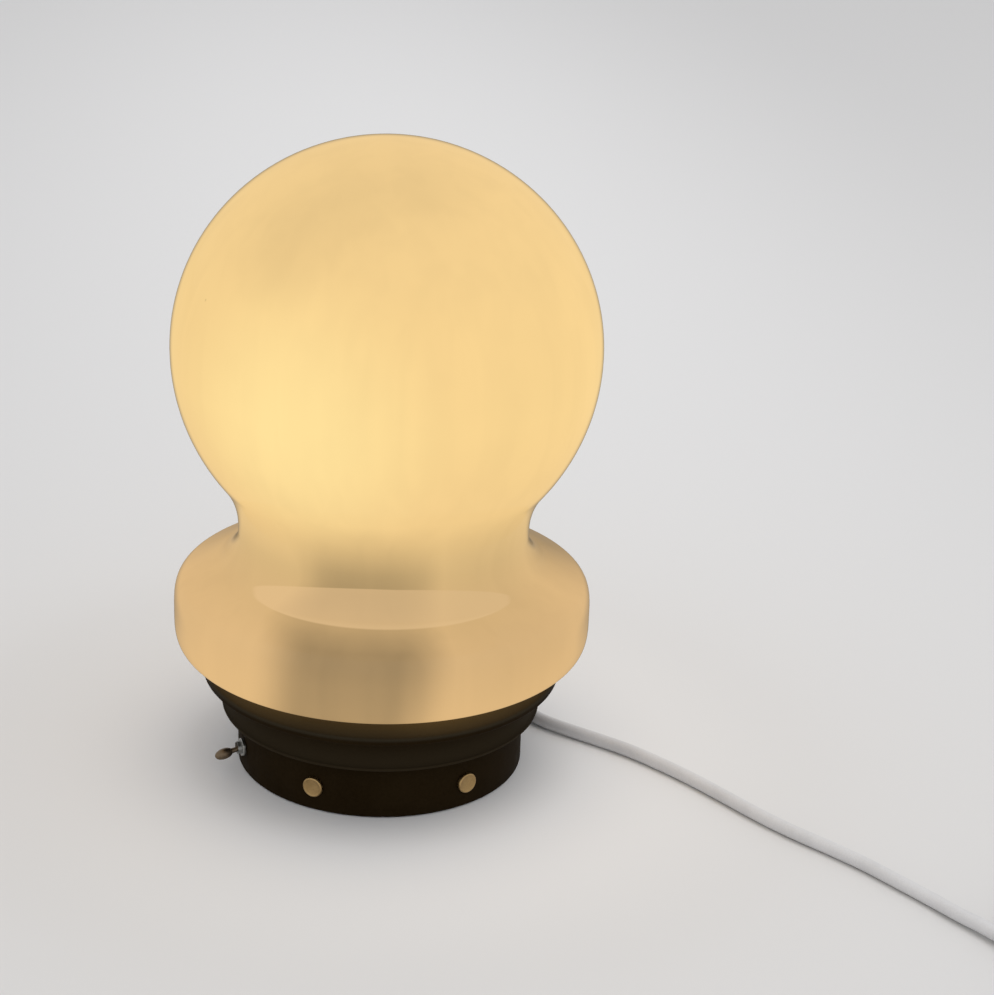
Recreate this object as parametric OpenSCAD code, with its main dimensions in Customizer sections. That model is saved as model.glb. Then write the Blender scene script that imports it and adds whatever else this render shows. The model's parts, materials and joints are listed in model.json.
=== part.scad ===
// Table lamp: a one-piece opal glass shade standing on a stepped, dark-painted metal base.
// Origin at the centre of the underside, on the table. +Z up, -Y the front, +X the right.

/* [Glass shade] */
// Radius of the globe at its widest
globe_r = 100; // [92:0.5:108]
// Height of the crown above the globe's widest circle
crown_h = 97.7; // [88:0.1:108]
// Radius of the waist under the globe
waist_r = 69; // [60:0.5:74]
// Radius of the hollow curve between the globe and the waist
waist_blend_r = 40; // [25:1:60]
// Length of the straight waist
waist_len = 2.7; // [1:0.1:8]
// Radius of the hollow curve between the waist and the foot bulge
flare_r = 18.5; // [12:0.5:22]
// Radius of the foot bulge
bulge_r = 99.5; // [94:0.5:108]
// Height of the foot bulge
bulge_h = 34.6; // [26:0.2:44]
// Depth of the foot bulge's rounded section
bulge_depth = 16; // [12:0.5:20]
// Angle on that section where the shoulder runs out into a straight slope
shoulder_angle = 61; // [55:1:75]
// Squareness of the foot bulge's section
bulge_fullness = 4; // [2:0.1:5]
// Gap between the foot bulge and the top of the base
bulge_gap = 11; // [9:0.5:16]
// Radius of the hollow curve between the foot bulge and the collar
collar_blend_r = 6; // [4:0.5:8]
// Thickness of the glass
glass_t = 3; // [2:0.1:4]

/* [Base] */
// Radius of the drum
drum_r = 69.3; // [64:0.1:74]
// Height of the drum's wall
drum_h = 27.7; // [25:0.1:34]
// Thickness of the drum's wall
drum_t = 2; // [1.2:0.1:3]
// Height of the drum's lower edge above the table
drum_lift = 0.5; // [0.3:0.1:1]
// Height of the gallery ring on the drum
gallery_h = 21.8; // [20:0.1:26]
// Overhang of the gallery's lip past the drum
lip_over = 16.7; // [12:0.1:20]
// Height of the gallery's lip
lip_h = 4; // [3:0.2:5]
// Overhang of the gallery's lower bead past the drum
bead_over = 7.7; // [6:0.1:10]
// Height of the lower bead
bead_h = 1.8; // [1.6:0.1:4]
// Depth of the cove above the bead
cove_depth = 3; // [1.5:0.1:4]
// Share of the cove's height that sweeps down to the bead
cove_sweep = 0.72; // [0.5:0.02:0.8]
// Rounding of the gallery's edges
edge_round = 1.2; // [0.5:0.1:1.5]
// Depth of the glass seat below the top of the gallery
seat_drop = 10; // [8:0.5:12]
// Thickness of the carrier's plate and skirt
carrier_t = 2; // [1.5:0.1:2.5]
// Width of the gallery's inner ledge under the carrier
ledge_w = 2; // [1.5:0.1:3]
// Thickness of the gasket under the glass
gasket_t = 2; // [1:0.1:3]
// Width of the gasket under the glass
gasket_w = 8; // [5:0.5:12]
// Thickness of the felt under the base
felt_t = 1.5; // [1:0.1:2]
// Thickness of the bottom cover
cover_t = 1.5; // [1:0.1:2]

/* [Fixings] */
// Height of the row of screws and of the switch
fixing_h = 12.8; // [11:0.1:15]
// Angle of each drum screw from the lamp's front or back
screw_spread = 31; // [20:1:45]
// Radius of a drum screw's head
screw_head_r = 5; // [4:0.1:6]
// Thickness of a drum screw's head
screw_head_t = 2; // [1.2:0.1:3]
// Radius of a drum screw's shank
screw_r = 1.9; // [1.4:0.1:2.4]
// Length of a drum screw's shank
screw_len = 8; // [6:0.5:12]
// Radius of the ring of pillars inside the base
pillar_ring_r = 50; // [44:1:54]
// Radius of a pillar
pillar_r = 4; // [3.5:0.1:5]

/* [Switch] */
// Direction of the switch round the base, from +X
switch_angle = 195; // [185:1:215]
// Radius of the switch's threaded bushing
bushing_r = 3; // [2.9:0.1:4]
// Length of the bushing outside the drum
bushing_out = 3.7; // [3.2:0.1:5]
// Length of the lever from its pivot
lever_len = 14.6; // [13:0.1:20]
// Length of the lever's oval end
lever_end_len = 9; // [6:0.1:9]
// Radius of the lever's oval end
lever_end_r = 2.65; // [2:0.05:3.5]
// Droop of the lever at rest
lever_droop = 13; // [8:1:13]

/* [Lampholder and bulb] */
// Radius of the threaded tube
nipple_r = 5; // [4.5:0.1:5.5]
// Radius of the bore through the threaded tube
nipple_bore_r = 3.5; // [3:0.1:3.8]
// Width across flats of a tube nut
nut_flats = 14; // [13:0.5:18]
// Thickness of a tube nut
nut_h = 3; // [2:0.5:5]
// Radius of the lampholder's shell
holder_r = 23; // [19:0.1:24]
// Height of the lampholder
holder_h = 53; // [52:0.5:60]
// Radius of the bulb
bulb_r = 30; // [24:0.5:40]
// Height of the bulb above the lampholder
bulb_above = 81; // [76:0.5:100]
// Radius of the bulb's screw cap
bulb_cap_r = 13.2; // [13:0.1:13.4]

/* [Cord] */
// Diameter of the cord
cord_d = 6.5; // [5.6:0.1:7]
// Height of the cord outlet
outlet_h = 10; // [9:0.5:12]
// Length of the strain relief outside the drum
relief_len = 27.5; // [20:0.5:40]
// Number of steps along the coil, at 24 steps a turn
coil_steps = 130; // [96:2:160]
// Gap between the turns of the coil
coil_gap = 0.6; // [0.5:0.1:1]
// Mean radius of the coil
coil_r = 36.8; // [33:0.5:39]
// Thickness of the plug
plug_t = 15; // [14:0.5:18]
// Width of the plug at its face
plug_w = 30; // [26:0.5:36]
// Length of the plug's pins
pin_len = 19; // [15:0.5:20]

/* [Hidden] */
$fn = 96;

// Clearances: parts that slip together, parts that seat loosely, threads and pivots
slip_clear = 0.2;
seat_clear = 0.3;
thread_clear = 0.05;
collar_clear = 3.7;

// Levels of the base, from the table up
drum_top = drum_lift + drum_h;
gallery_top = drum_top + gallery_h;
lip_bottom = gallery_top - lip_h;
bead_top = drum_top + bead_h;
plate_top = gallery_top - seat_drop;
plate_bottom = plate_top - carrier_t;
cover_top = felt_t + cover_t;
skirt_bottom = cover_top + 1.5;

// Radii of the base, from the drum's wall in and out
drum_in = drum_r - drum_t;
lip_r = drum_r + lip_over;
bead_r = drum_r + bead_over;
cove_r = bead_r - cove_depth;
skirt_r = drum_in - slip_clear;
skirt_in = skirt_r - carrier_t;
gallery_bore = skirt_r + seat_clear;
plate_r = gallery_bore + ledge_w;
seat_r = plate_r + seat_clear;

// Levels and radii of the shade
rim_z = plate_top + gasket_t;
collar_r = seat_r - collar_clear;
bulge_bottom = gallery_top + bulge_gap;
bulge_z = bulge_bottom + bulge_h / 2;
bulge_in = bulge_r - bulge_depth;
shoulder_r = bulge_in + bulge_depth * soft_power(cos(shoulder_angle), 2 / bulge_fullness);
shoulder_z = bulge_z + bulge_h / 2 * soft_power(sin(shoulder_angle), 2 / bulge_fullness);
shoulder_slope = atan(bulge_h / 2 / bulge_depth * pow(1 / tan(shoulder_angle), 2 - 2 / bulge_fullness));
flare_z = shoulder_z + (shoulder_r - waist_r - flare_r) * tan(shoulder_slope) + flare_r / cos(shoulder_slope);
waist_z = flare_z + waist_len;
globe_z = waist_z + sqrt(pow(globe_r + waist_blend_r, 2) - pow(waist_r + waist_blend_r, 2));
blend_angle = asin((globe_z - waist_z) / (globe_r + waist_blend_r));

// Directions of the fixings round the base, from +X
screw_angles = [-90 - screw_spread, -90 + screw_spread, 90 - screw_spread, 90 + screw_spread];
pillar_angles = [30, 150, 270];
outlet_angle = 90;
pillar_hole_r = 1.5;
pillar_hole_h = 9;
cover_head_r = 2.8;
cover_head_h = 1.2;

// Switch: distances along its own axis, from the centre of the lamp
switch_w = 14;
switch_h = 12;
switch_depth = 13;
switch_face = sqrt(pow(skirt_in, 2) - pow(switch_w / 2, 2)) - seat_clear;
switch_back = switch_face - switch_depth;
bushing_end = drum_r + bushing_out;
bushing_bore_r = 2.1;
bushing_mouth_r = 2.7;
lever_pivot = bushing_end - 3.5;
lever_neck_r = 1.3;
lever_tail_r = 1;
lever_tail = 4;
lever_pin_r = 0.6;
switch_nut_flats = 2.8 * bushing_r;
switch_nut_t = 1.6;
terminal_gap = 7;
terminal_len = 8;
terminal_w = 4;
terminal_t = 1;
lug_end = switch_back - terminal_len;

// Lampholder and bulb: levels from the carrier's plate up
washer_t = 1;
nipple_bottom = plate_bottom - washer_t - nut_h - 3;
holder_z = plate_top + nut_h;
holder_floor = 3;
holder_t = 2.5;
holder_edge = 1;
holder_round = 3;
holder_ledge = 1.5;
holder_step_h = 13;
holder_rim_h = 4;
holder_band_h = 5;
nipple_top = holder_z + holder_floor + holder_rim_h;
holder_step_z = holder_z + holder_step_h;
holder_split_z = holder_step_z + holder_rim_h;
holder_top = holder_z + holder_h;
insulator_h = 12;
insulator_top = holder_step_z + insulator_h;
insulator_r = holder_r - holder_t - seat_clear;
sleeve_r = bulb_cap_r + 0.4;
sleeve_t = 1;
sleeve_h = 25;
contact_h = 2;
holder_screw_x = 11;
holder_screw_r = 2.5;
holder_screw_h = 2;
bulb_tip = insulator_top + contact_h + seat_clear;
bulb_contact_h = 1.5;
bulb_insulator_h = 4.5;
bulb_cap_z = bulb_tip + bulb_contact_h + bulb_insulator_h;
bulb_seam = holder_top + 1;
bulb_cap_t = 0.6;
bulb_neck_r = 14.5;
bulb_stem = 11;
bulb_t = 0.8;
bulb_z = holder_top + bulb_above - bulb_r;
bulb_neck_z = bulb_seam + 4.3;
bulb_rise = bulb_z - bulb_neck_z;
bulb_blend_r = (pow(bulb_rise, 2) + pow(bulb_neck_r, 2) - pow(bulb_r, 2)) / (2 * (bulb_r - bulb_neck_r));
bulb_blend_angle = asin(bulb_rise / (bulb_r + bulb_blend_r));

// Strain relief and the cord inside the base
relief_r = 6;
relief_end_r = 4.4;
relief_neck_r = 4.5;
relief_flange_r = 6.5;
relief_flange_t = 2;
relief_rings = 4;
relief_start = drum_r + seat_clear;
relief_end = drum_r + relief_len;
relief_back = sqrt(pow(skirt_in, 2) - pow(relief_flange_r, 2)) - seat_clear;
sheath_len = 14.5;
sheath_end = relief_back - relief_flange_t - sheath_len;
wire_r = 1;

// Coil: two layers of turns a cord and a gap apart, on the table beyond the lamp's right front
coil_centre = [310, -202];
coil_start_angle = -150;
coil_pitch = cord_d + coil_gap;
coil_lift = 1.7;
coil_turns = coil_steps / 24;
coil_in_r = coil_r - coil_pitch * coil_turns / 4;
coil_low_z = coil_lift + cord_d / 2;
coil_high_z = coil_low_z + coil_pitch;
coil_start_dir = coil_start_angle + 90;
coil_end_angle = coil_start_angle + 360 * coil_turns;
coil_end_dir = coil_end_angle + 90;

// Route of the free cord: out of the strain relief, round behind the base, then off to the right front
cord_z = 3.3;
cord_route = [[0, 106, 10], [2, 116, 9], [8, 125, 7.5], [18, 131, 6], [30, 133, 5], [42, 130, 4], [52, 122, 3.5],
              [59, 110, cord_z], [63, 96, cord_z], [65, 81, cord_z], [67, 66, cord_z], [70, 51, cord_z],
              [75, 36, cord_z], [83, 22, cord_z], [95, 10, cord_z], [109, -2, cord_z], [123, -15, cord_z],
              [136, -30, cord_z], [149, -47, cord_z], [161, -65, cord_z], [173, -83, cord_z], [185, -99, cord_z],
              [198, -114, cord_z], [211, -130, cord_z], [222, -146, cord_z], [232, -161, 3.4], [241, -176, 3.8],
              [250, -190, 4.4]];

// Routes of the wires: from the sheath and the switch's lugs, under the threaded tube and up through it
wire_x = 1.5;
wire_end_x = holder_screw_x - holder_screw_r - seat_clear;
wire_end_z = holder_step_z - holder_screw_h / 2 - seat_clear;
wire_neutral_route = [[wire_x, sheath_end, outlet_h], [wire_x, sheath_end - 12, outlet_h], [wire_x, 22, outlet_h + 1],
                      [wire_x, 10, outlet_h + 5], [wire_x, 2, nipple_bottom - 9], [wire_x, 0, nipple_bottom],
                      [wire_x, 0, plate_top], [wire_x, 0, nipple_top], [wire_x * 2, 0, nipple_top + 3],
                      [wire_end_x, 0, wire_end_z]];
wire_line_route = [[-wire_x, sheath_end, outlet_h], [-wire_x, sheath_end - 8, outlet_h], [-7, 25, outlet_h + 0.5],
                   [-15, 11, fixing_h - 1], [-25, 0, fixing_h], by_switch(lug_end - 9, -terminal_gap / 2),
                   by_switch(lug_end - seat_clear, -terminal_gap / 2)];
wire_switched_route = [by_switch(lug_end - seat_clear, terminal_gap / 2), by_switch(lug_end - 9, terminal_gap / 2),
                       [-22, -9.5, fixing_h], [-11, -5, fixing_h + 2], [-4, -1.5, nipple_bottom - 9],
                       [-wire_x, 0, nipple_bottom], [-wire_x, 0, plate_top], [-wire_x, 0, nipple_top],
                       [-wire_x * 2, 0, nipple_top + 3], [-wire_end_x, 0, wire_end_z]];

// Plug: distances along its own axis from the cord's end
tail_len = 44;
plug_neck_len = 14;
plug_len = 38;
plug_z = plug_t / 2 + 0.2;
pin_r = 2;
pin_gap = 18.6;

// Points along an arc from angle a0 to angle a1
function arc(cx, cy, r, a0, a1, n) = [for (i = [0:n]) let (a = a0 + (a1 - a0) * i / n) [cx + r * cos(a), cy + r * sin(a)]];

// Points along an elliptical arc
function oval(cx, cy, rx, ry, a0, a1, n) =
    [for (i = [0:n]) let (a = a0 + (a1 - a0) * i / n) [cx + rx * cos(a), cy + ry * sin(a)]];

// A number's power with its sign kept
function soft_power(v, p) = sign(v) * pow(abs(v), p);

// Points down the right side of a squared ellipse, from an angle to its lowest point
function squared_side(cx, cy, rx, ry, fullness, a0, n) =
    [for (i = [0:n]) let (a = a0 - (a0 + 90) * i / n)
        [cx + rx * soft_power(cos(a), 2 / fullness), cy + ry * soft_power(sin(a), 2 / fullness)]];

// Outline of the shade from the crown down to the collar's rim, set in by a depth from the outer face
function shade_side(inset) = concat(
    oval(0, globe_z, globe_r - inset, crown_h - inset, 90, 0, 16),
    arc(0, globe_z, globe_r - inset, -5, -blend_angle, 8),
    arc(waist_r + waist_blend_r, waist_z, waist_blend_r + inset, 180 - blend_angle * 0.9, 180, 6),
    arc(waist_r + flare_r, flare_z, flare_r + inset, 180, 270 - shoulder_slope, 6),
    squared_side(bulge_in, bulge_z, bulge_depth - inset, bulge_h / 2 - inset, bulge_fullness, shoulder_angle, 18),
    arc(collar_r + collar_blend_r, bulge_bottom - collar_blend_r, collar_blend_r + inset, 90, 180, 5),
    [[collar_r - inset, rim_z]]);

// Outline of the bulb's glass, set in by a depth from the outer face
function bulb_side(inset) = concat(
    arc(0, bulb_z, bulb_r - inset, 90, -bulb_blend_angle, 14),
    arc(bulb_neck_r + bulb_blend_r, bulb_neck_z, bulb_blend_r + inset, 180 - bulb_blend_angle * 0.85, 180, 5),
    [[bulb_neck_r - inset, bulb_seam + inset], [bulb_cap_r - bulb_cap_t - slip_clear - inset, bulb_seam + inset],
     [bulb_cap_r - bulb_cap_t - slip_clear - inset, bulb_seam - bulb_stem]]);

// A list turned end for end
function reversed(list) = [for (i = [len(list) - 1:-1:0]) list[i]];

// A vector's direction
function unit(v) = v / norm(v);

// A point beside the switch's axis, at a distance from the lamp's centre
function by_switch(reach, side) = [reach * cos(switch_angle) - side * sin(switch_angle),
                                   reach * sin(switch_angle) + side * cos(switch_angle), fixing_h];

// A level direction at an angle from +X
function heading(angle) = [cos(angle), sin(angle), 0];

// Direction of a path at each of its points
function path_dirs(path) =
    let (last = len(path) - 1)
    [for (i = [0:last])
        i == 0 ? unit(path[1] - path[0]) :
        i == last ? unit(path[last] - path[last - 1]) :
        unit(unit(path[i + 1] - path[i]) + unit(path[i] - path[i - 1]))];

// Normals carried along a path without twisting
function carried(dirs, n, i = 0) =
    i == len(dirs) ? [] :
    let (m = unit(n - (n * dirs[i]) * dirs[i]))
    concat([m], carried(dirs, m, i + 1));

// Length of a path
function path_length(path) = len(path) < 2 ? 0 : [for (i = [1:len(path) - 1]) norm(path[i] - path[i - 1])] *
    [for (i = [1:len(path) - 1]) 1];

// Height of the coil's centre line, climbing one layer in the half turn where the spiral reverses
function coil_climb(turn) =
    let (s = min(1, max(0, (turn - coil_turns / 2) / 0.5 + 0.5)))
    coil_low_z + (coil_high_z - coil_low_z) * (1 - cos(180 * s)) / 2;

// A point of the coil's centre line at a number of turns from its start
function coil_point(turn) =
    let (r = coil_in_r + coil_pitch * abs(turn - coil_turns / 2), a = coil_start_angle + 360 * turn)
    [coil_centre[0] + r * cos(a), coil_centre[1] + r * sin(a), coil_climb(turn)];

coil_lead_in = coil_point(0) - cord_d * heading(coil_start_dir);
coil_lead_out = coil_point(coil_turns) + cord_d * heading(coil_end_dir);
coil_path = concat([coil_lead_in], [for (i = [0:coil_steps]) coil_point(i / 24)], [coil_lead_out]);
relief_exit = [0, relief_end, outlet_h];
cord_path = concat([relief_exit], cord_route, [coil_lead_in - 9 * heading(coil_start_dir), coil_lead_in]);
plug_rear = [coil_lead_out[0], coil_lead_out[1], plug_z] + tail_len * heading(coil_end_dir);
tail_path = [coil_lead_out, coil_lead_out + 9 * heading(coil_end_dir),
             (coil_lead_out + plug_rear) / 2, plug_rear - 9 * heading(coil_end_dir), plug_rear];

// Least gap between the coil's turns, measured on its centre line
coil_self_gap = min([for (i = [0:coil_steps - 12]) min([for (j = [i + 12:coil_steps])
    norm(coil_path[i + 1] - coil_path[j + 1])])]) - cord_d;
echo(coil_self_gap = coil_self_gap);
echo(cord_length = path_length(cord_path) + path_length(coil_path) + path_length(tail_path));

// A solid of revolution about the lamp's axis
module turned(points) {
    rotate_extrude() polygon(points);
}

// Places a piece whose +Z is an outward radius of the base, at a height
module on_wall(angle, h) {
    rotate([0, 0, angle]) translate([0, 0, h]) rotate([0, 90, 0]) children();
}

// A rod along the lever's hinge line
module pivot_rod(r, h) {
    on_wall(switch_angle, fixing_h) translate([0, 0, lever_pivot]) rotate([90, 0, 0]) cylinder(h = h, r = r, center = true);
}

// A tube of flat-sided section along a path
module swept(path, r, sides) {
    dirs = path_dirs(path);
    start = abs(dirs[0][2]) > 0.9 ? [1, 0, 0] : [0, 0, 1];
    normals = carried(dirs, start);
    rings = len(path);
    points = [for (i = [0:rings - 1]) for (k = [0:sides - 1]) let (a = 360 * k / sides)
        path[i] + r * cos(a) * normals[i] + r * sin(a) * cross(dirs[i], normals[i])];
    walls = [for (i = [0:rings - 2]) for (k = [0:sides - 1])
        let (a = i * sides + k, b = i * sides + (k + 1) % sides)
        for (face = [[a, a + sides, b], [b, a + sides, b + sides]]) face];
    first_cap = [for (k = [1:sides - 2]) [0, k, k + 1]];
    far = (rings - 1) * sides;
    last_cap = [for (k = [1:sides - 2]) [far, far + k + 1, far + k]];
    polyhedron(points, concat(walls, first_cap, last_cap));
}

// A hexagonal nut with its bore along Z
module hex_nut(flats, h, bore_r) {
    difference() {
        cylinder(h = h, r = flats / sqrt(3), $fn = 6);
        translate([0, 0, -1]) cylinder(h = h + 2, r = bore_r);
    }
}

// A rectangle with round corners, as an outline
function round_rect(x0, y0, x1, y1, r) = concat(
    arc(x1 - r, y1 - r, r, 0, 90, 4), arc(x0 + r, y1 - r, r, 90, 180, 4),
    arc(x0 + r, y0 + r, r, 180, 270, 4), arc(x1 - r, y0 + r, r, 270, 360, 4));

// Opal glass: globe, waist, foot bulge and collar in one blown piece
module glass_shade() {
    color("moccasin") turned(concat(shade_side(0), reversed(shade_side(glass_t))));
}

// Turned ring that crowns the drum: a lip, a cove and a bead, bored for the carrier
module gallery_ring() {
    cove_low_z = bead_top + cove_sweep * (lip_bottom - bead_top);
    cove_w = lip_r - edge_round - cove_r;
    color("#2a2013") turned(concat(
        [[gallery_bore, drum_top], [gallery_bore, plate_bottom], [seat_r, plate_bottom], [seat_r, gallery_top]],
        arc(lip_r - edge_round, gallery_top - edge_round, edge_round, 90, 0, 5),
        arc(lip_r - edge_round, lip_bottom + edge_round, edge_round, 0, -80, 5),
        oval(cove_r + cove_w, cove_low_z, cove_w, lip_bottom - cove_low_z, 90, 180, 9),
        oval(bead_r, cove_low_z, cove_depth, cove_low_z - bead_top, 188, 262, 8),
        [[bead_r, bead_top]],
        arc(bead_r - edge_round, drum_top + edge_round, edge_round, 0, -90, 5)));
}

// Lower wall of the base, pierced for the screws, the switch and the cord
module base_drum() {
    color("#1b1408") difference() {
        turned(concat(
            [[drum_in, drum_lift]],
            arc(drum_r - edge_round / 2, drum_lift + edge_round / 2, edge_round / 2, -90, 0, 4),
            [[drum_r, drum_top], [drum_in, drum_top]]));
        for (a = screw_angles) on_wall(a, fixing_h) cylinder(h = drum_r + 5, r = screw_r + seat_clear);
        on_wall(switch_angle, fixing_h) cylinder(h = drum_r + 5, r = bushing_r + slip_clear);
        on_wall(outlet_angle, outlet_h) cylinder(h = drum_r + 5, r = relief_neck_r + slip_clear);
    }
}

// Inner pan: a plate that carries the glass and the lampholder, with a skirt inside the drum
module carrier() {
    color("silver") difference() {
        turned([[skirt_in, skirt_bottom], [skirt_r, skirt_bottom], [skirt_r, plate_bottom], [plate_r, plate_bottom],
                [plate_r, plate_top], [nipple_r + slip_clear, plate_top], [nipple_r + slip_clear, plate_bottom],
                [skirt_in, plate_bottom]]);
        for (a = screw_angles) on_wall(a, fixing_h) cylinder(h = drum_r, r = screw_r + thread_clear);
        on_wall(switch_angle, fixing_h) cylinder(h = drum_r, r = bushing_r + slip_clear);
        on_wall(outlet_angle, outlet_h) cylinder(h = drum_r, r = relief_neck_r + slip_clear);
    }
}

// Soft ring that the glass rim stands on
module seat_gasket() {
    color("dimgray") turned([[collar_r - glass_t / 2 - gasket_w / 2, plate_top],
                             [collar_r - glass_t / 2 + gasket_w / 2, plate_top],
                             [collar_r - glass_t / 2 + gasket_w / 2, rim_z],
                             [collar_r - glass_t / 2 - gasket_w / 2, rim_z]]);
}

// Flat-headed brass screws that hold the drum to the carrier
module drum_screws() {
    seat = drum_r + thread_clear;
    chamfer = screw_head_t / 4;
    color("#8a7048") for (a = screw_angles) on_wall(a, fixing_h) turned([
        [0, seat - screw_len], [screw_r, seat - screw_len], [screw_r, seat], [screw_head_r, seat],
        [screw_head_r, seat + screw_head_t - chamfer], [screw_head_r - chamfer, seat + screw_head_t],
        [0, seat + screw_head_t]]);
}

// Pillars between the carrier's plate and the bottom cover
module base_pillars() {
    color("silver") for (a = pillar_angles) rotate([0, 0, a]) translate([pillar_ring_r, 0, cover_top])
        difference() {
            cylinder(h = plate_bottom - cover_top, r = pillar_r);
            translate([0, 0, -1]) cylinder(h = pillar_hole_h + 1, r = pillar_hole_r);
        }
}

// Sheet disc that closes the base
module bottom_cover() {
    color("gray") difference() {
        translate([0, 0, felt_t]) cylinder(h = cover_t, r = drum_in - seat_clear);
        for (a = pillar_angles) rotate([0, 0, a]) translate([pillar_ring_r, 0, 0])
            cylinder(h = cover_top + 1, r = pillar_hole_r + slip_clear);
    }
}

// Screws that hold the bottom cover to the pillars
module cover_screws() {
    shank_r = pillar_hole_r - thread_clear;
    color("silver") for (a = pillar_angles) rotate([0, 0, a]) translate([pillar_ring_r, 0, 0]) turned([
        [0, felt_t - cover_head_h], [cover_head_r, felt_t - cover_head_h], [cover_head_r, felt_t], [shank_r, felt_t],
        [shank_r, cover_top + pillar_hole_h - 1], [0, cover_top + pillar_hole_h - 1]]);
}

// Felt on the underside, with a hole over each screw
module felt_pad() {
    color("darkolivegreen") difference() {
        cylinder(h = felt_t, r = drum_in - 2 * seat_clear);
        for (a = pillar_angles) rotate([0, 0, a]) translate([pillar_ring_r, 0, -1])
            cylinder(h = felt_t + 2, r = cover_head_r + 1);
    }
}

// Threaded tube that joins the lampholder to the carrier
module nipple() {
    color("goldenrod") turned([[nipple_bore_r, nipple_bottom], [nipple_r, nipple_bottom], [nipple_r, nipple_top],
                               [nipple_bore_r, nipple_top]]);
}

// Nuts above and below the carrier's plate
module nipple_nuts() {
    color("goldenrod") for (z = [plate_bottom - washer_t - nut_h, plate_top])
        translate([0, 0, z]) hex_nut(nut_flats, nut_h, nipple_r + thread_clear);
}

// Washer under the carrier's plate
module nipple_washer() {
    color("silver") turned([[nipple_r + slip_clear, plate_bottom - washer_t], [nut_flats / 2 + 2, plate_bottom - washer_t],
                            [nut_flats / 2 + 2, plate_bottom], [nipple_r + slip_clear, plate_bottom]]);
}

// Lower half of the lampholder, a cup with a step for the insulator
module holder_cap() {
    step_r = insulator_r - holder_ledge;
    cap_r = holder_r - holder_edge / 2;
    color("#222222") turned(concat(
        [[nipple_r + slip_clear, holder_z]],
        arc(cap_r - holder_round, holder_z + holder_round, holder_round, -90, 0, 5),
        [[cap_r, holder_split_z], [insulator_r + seat_clear, holder_split_z],
         [insulator_r + seat_clear, holder_step_z], [step_r, holder_step_z], [step_r, holder_z + holder_floor],
         [nipple_r + slip_clear, holder_z + holder_floor]]));
}

// Upper half of the lampholder, a sleeve with a band round its foot
module holder_shell() {
    band_r = holder_r + holder_edge;
    band_top = holder_split_z + holder_band_h;
    color("#222222") turned([
        [holder_r - holder_t, holder_split_z], [band_r, holder_split_z], [band_r, band_top],
        [holder_r, band_top + holder_edge], [holder_r, holder_top - holder_edge],
        [holder_r - holder_edge, holder_top], [holder_r - holder_t, holder_top]]);
}

// Ceramic block that carries the contacts
module holder_insulator() {
    color("ivory") difference() {
        translate([0, 0, holder_step_z]) cylinder(h = insulator_h, r = insulator_r);
        for (side = [-1, 1]) translate([side * holder_screw_x, 0, holder_step_z - 1])
            cylinder(h = 7, r = holder_screw_r / 2 + thread_clear);
    }
}

// Threaded brass sleeve that the bulb screws into
module holder_sleeve() {
    color("goldenrod") turned([[sleeve_r, insulator_top], [sleeve_r + sleeve_t, insulator_top],
                               [sleeve_r + sleeve_t, insulator_top + sleeve_h], [sleeve_r, insulator_top + sleeve_h]]);
}

// Contact under the bulb's tip
module holder_contact() {
    color("goldenrod") turned([[0, insulator_top], [5, insulator_top], [4, insulator_top + contact_h],
                               [0, insulator_top + contact_h]]);
}

// Screws that clamp the wires to the lampholder
module holder_terminals() {
    color("goldenrod") for (side = [-1, 1]) translate([side * holder_screw_x, 0, holder_step_z]) turned([
        [0, -holder_screw_h], [holder_screw_r, -holder_screw_h], [holder_screw_r, 0], [holder_screw_r / 2, 0],
        [holder_screw_r / 2, 5], [0, 5]]);
}

// Glass of the bulb, open at the foot where the cap covers it
module bulb_envelope() {
    color("white") turned(concat(bulb_side(0), reversed(bulb_side(bulb_t))));
}

// Metal screw cap of the bulb
module bulb_cap() {
    color("silver") turned([[0, bulb_cap_z], [bulb_cap_r - 1, bulb_cap_z], [bulb_cap_r, bulb_cap_z + 1],
                            [bulb_cap_r, bulb_seam], [bulb_cap_r - bulb_cap_t, bulb_seam],
                            [bulb_cap_r - bulb_cap_t, bulb_cap_z + 1.4], [bulb_cap_r - 1.2, bulb_cap_z + bulb_cap_t],
                            [0, bulb_cap_z + bulb_cap_t]]);
}

// Glass insulator at the foot of the cap
module bulb_insulator() {
    color("#222222") turned([[0, bulb_tip + bulb_contact_h], [6, bulb_tip + bulb_contact_h], [11.5, bulb_cap_z],
                             [0, bulb_cap_z]]);
}

// Contact at the bulb's tip
module bulb_contact() {
    color("silver") turned([[0, bulb_tip], [3.5, bulb_tip], [4.5, bulb_tip + bulb_contact_h],
                            [0, bulb_tip + bulb_contact_h]]);
}

// Case of the toggle switch, inside the base
module switch_body() {
    color("#303030") on_wall(switch_angle, fixing_h)
        translate([-switch_h / 2, -switch_w / 2, switch_back]) cube([switch_h, switch_w, switch_depth]);
}

// Threaded bushing that the lever moves in
module switch_bushing() {
    mouth = bushing_end - lever_pivot - 1;
    color("silver") difference() {
        on_wall(switch_angle, fixing_h) turned([
            [bushing_bore_r, switch_face], [bushing_r, switch_face], [bushing_r, bushing_end],
            [bushing_mouth_r, bushing_end], [bushing_bore_r, bushing_end - mouth]]);
        pivot_rod(lever_pin_r + thread_clear / 2, 3 * bushing_r);
    }
}

// Nut that holds the bushing to the drum
module switch_nut() {
    color("silver") on_wall(switch_angle, fixing_h) translate([0, 0, drum_r + thread_clear])
        hex_nut(switch_nut_flats, switch_nut_t, bushing_r + thread_clear);
}

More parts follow.
